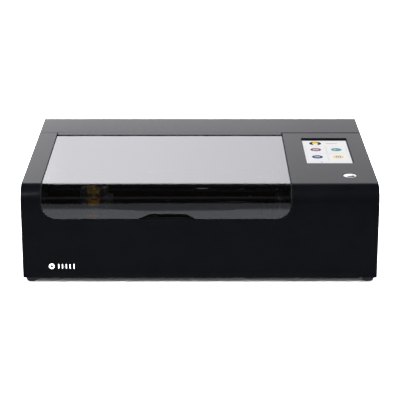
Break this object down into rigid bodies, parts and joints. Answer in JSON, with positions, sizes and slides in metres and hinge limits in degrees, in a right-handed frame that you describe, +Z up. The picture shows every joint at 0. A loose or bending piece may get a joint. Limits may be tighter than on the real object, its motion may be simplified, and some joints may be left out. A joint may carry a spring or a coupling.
{
  "type": "desktop laser cutter",
  "caption": "Low desktop laser cutter: bent steel case on feet, hinged tinted lid with finger notch, X-Y gantry and lens head over a flat bed, top touch screen, push button, rear exhaust duct.",
  "frame": {"origin": "centre of the bounding box in plan, at the underside of the feet", "axes": "+X to the right seen from the front, +Y to the back, +Z up; the front faces -Y"},
  "size_m": [0.615, 0.465, 0.1782],
  "materials": {
    "front_casing": "fine satin powder coat",
    "rear_cover": "fine satin powder coat",
    "back_panel": "fine satin powder coat",
    "left_panel": "fine satin powder coat",
    "right_panel": "fine satin powder coat",
    "base_plate": "fine satin powder coat",
    "foot_front_left": "moulded",
    "foot_front_right": "moulded",
    "foot_rear_left": "moulded",
    "foot_rear_right": "moulded",
    "lid": "smoke tinted acrylic, polished",
    "hinge_bar": "fine satin powder coat",
    "hinge_leaf": "zinc plated",
    "lid_ledge_left": "matt black",
    "lid_ledge_right": "matt black",
    "chamber_front": "matt black",
    "bulkhead": "matt black",
    "compartment_wall": "matt black",
    "bed_frame": "bare extrusion",
    "honeycomb": "bare foil, smoke stained",
    "rail_left": "satin anodised",
    "rail_right": "satin anodised",
    "y_belt_left": "toothed",
    "y_belt_right": "toothed",
    "y_drive_shaft": "ground",
    "y_idler_left": "turned",
    "y_idler_right": "turned",
    "y_motor": "black with bare end faces",
    "carriage_left": "black anodised",
    "carriage_right": "black anodised",
    "gantry_beam": "satin anodised",
    "x_motor": "black with bare end faces",
    "x_pulley": "turned",
    "x_idler": "turned",
    "x_belt": "toothed",
    "mirror_2": "black anodised",
    "head_carriage": "anodised",
    "mirror_3": "turned and satin finished",
    "lens_barrel": "orange anodised, knurled ring",
    "focus_probe": "satin",
    "laser_tube": "clear glass",
    "tube_bracket_left": "moulded",
    "tube_bracket_right": "moulded",
    "mirror_1": "black anodised",
    "water_tank": "translucent white",
    "coolant_hose_in": "clear silicone",
    "coolant_hose_out": "clear silicone",
    "radiator": "black painted",
    "fan_frame": "moulded",
    "fan_impeller": "moulded",
    "duct_collar": "moulded",
    "power_supply": "perforated sheet",
    "main_board": "coated board",
    "screen_glass": "glass front, lit display",
    "screen_module": "moulded",
    "start_button": "spun face",
    "button_housing": "satin",
    "power_inlet": "moulded",
    "rocker_switch": "moulded",
    "rear_ports": "tinned"
  },
  "bodies": {
    "machine": {"front_casing": "front_casing", "rear_cover": "rear_cover", "back_panel": "back_panel", "left_panel": "left_panel", "right_panel": "right_panel", "base_plate": "base_plate", "foot_front_left": "foot_front_left", "foot_front_right": "foot_front_right", "foot_rear_left": "foot_rear_left", "foot_rear_right": "foot_rear_right", "hinge_bar": "hinge_bar", "lid_ledge_left": "lid_ledge_left", "lid_ledge_right": "lid_ledge_right", "chamber_front": "chamber_front", "bulkhead": "bulkhead", "compartment_wall": "compartment_wall", "bed_frame": "bed_frame", "honeycomb": "honeycomb", "rail_left": "rail_left", "rail_right": "rail_right", "y_belt_left": "y_belt_left", "y_belt_right": "y_belt_right", "y_motor": "y_motor", "laser_tube": "laser_tube", "tube_bracket_left": "tube_bracket_left", "tube_bracket_right": "tube_bracket_right", "mirror_1": "mirror_1", "water_tank": "water_tank", "coolant_hose_in": "coolant_hose_in", "coolant_hose_out": "coolant_hose_out", "radiator": "radiator", "fan_frame": "fan_frame", "duct_collar": "duct_collar", "power_supply": "power_supply", "main_board": "main_board", "screen_glass": "screen_glass", "screen_module": "screen_module", "button_housing": "button_housing", "power_inlet": "power_inlet", "rear_ports": "rear_ports"},
    "lid": {"lid": "lid", "hinge_leaf": "hinge_leaf"},
    "gantry": {"carriage_left": "carriage_left", "carriage_right": "carriage_right", "gantry_beam": "gantry_beam", "x_motor": "x_motor", "x_belt": "x_belt", "mirror_2": "mirror_2"},
    "head": {"head_carriage": "head_carriage", "mirror_3": "mirror_3"},
    "lens": {"lens_barrel": "lens_barrel"},
    "probe": {"focus_probe": "focus_probe"},
    "y_shaft": {"y_drive_shaft": "y_drive_shaft"},
    "idler_left": {"y_idler_left": "y_idler_left"},
    "idler_right": {"y_idler_right": "y_idler_right"},
    "x_drive": {"x_pulley": "x_pulley"},
    "x_return": {"x_idler": "x_idler"},
    "fan": {"fan_impeller": "fan_impeller"},
    "button": {"start_button": "start_button"},
    "switch": {"rocker_switch": "rocker_switch"}
  },
  "joints": [
    {"name": "lid_hinge", "type": "hinge", "parent": "machine", "child": "lid", "pos_m": [-0.058, 0.089, 0.1746], "axis": [-1, 0, 0], "range_deg": [0, 78]},
    {"name": "gantry_slide", "type": "slide", "parent": "machine", "child": "gantry", "axis": [0, 1, 0], "range_m": [-0.01, 0.19]},
    {"name": "head_slide", "type": "slide", "parent": "gantry", "child": "head", "axis": [1, 0, 0], "range_m": [-0.044, 0.246]},
    {"name": "focus_slide", "type": "slide", "parent": "head", "child": "lens", "axis": [0, 0, 1], "range_m": [-0.012, 0.003]},
    {"name": "probe_fold", "type": "hinge", "parent": "head", "child": "probe", "pos_m": [-0.156, -0.173, 0.116], "axis": [0, 1, 0], "range_deg": [0, 90]},
    {"name": "y_shaft_spin", "type": "hinge", "parent": "machine", "child": "y_shaft", "pos_m": [-0.06, 0.084, 0.1034], "axis": [1, 0, 0], "range_deg": [-1720, 95]},
    {"name": "y_idler_left_spin", "type": "hinge", "parent": "machine", "child": "idler_left", "pos_m": [-0.288, -0.21, 0.1034], "axis": [1, 0, 0], "range_deg": [-1720, 95]},
    {"name": "y_idler_right_spin", "type": "hinge", "parent": "machine", "child": "idler_right", "pos_m": [0.1505, -0.195, 0.1034], "axis": [1, 0, 0], "range_deg": [-1720, 95]},
    {"name": "x_pulley_spin", "type": "hinge", "parent": "gantry", "child": "x_drive", "pos_m": [-0.25, -0.112, 0.1518], "axis": [0, 0, 1], "range_deg": [-400, 2220]},
    {"name": "x_idler_spin", "type": "hinge", "parent": "gantry", "child": "x_return", "pos_m": [0.112, -0.112, 0.1518], "axis": [0, 0, 1], "range_deg": [-400, 2220]},
    {"name": "fan_spin", "type": "hinge", "parent": "machine", "child": "fan", "pos_m": [0.04, 0.189, 0.072], "axis": [0, 1, 0], "continuous": true},
    {"name": "button_press", "type": "slide", "parent": "machine", "child": "button", "axis": [0, 0, -1], "range_m": [0, 0.0012], "stiffness_N_per_m": 600, "springref_m": -0.001},
    {"name": "rocker_tilt", "type": "hinge", "parent": "machine", "child": "switch", "pos_m": [0.268, 0.2085, 0.0775], "axis": [1, 0, 0], "range_deg": [0, 13]}
  ],
  "couplings": [
    {"joint": "y_shaft_spin", "follows": "gantry_slide", "rad_per_m": -156.99},
    {"joint": "y_idler_left_spin", "follows": "gantry_slide", "rad_per_m": -156.99},
    {"joint": "y_idler_right_spin", "follows": "gantry_slide", "rad_per_m": -156.99},
    {"joint": "x_pulley_spin", "follows": "head_slide", "rad_per_m": 156.99},
    {"joint": "x_idler_spin", "follows": "head_slide", "rad_per_m": 156.99}
  ]
}
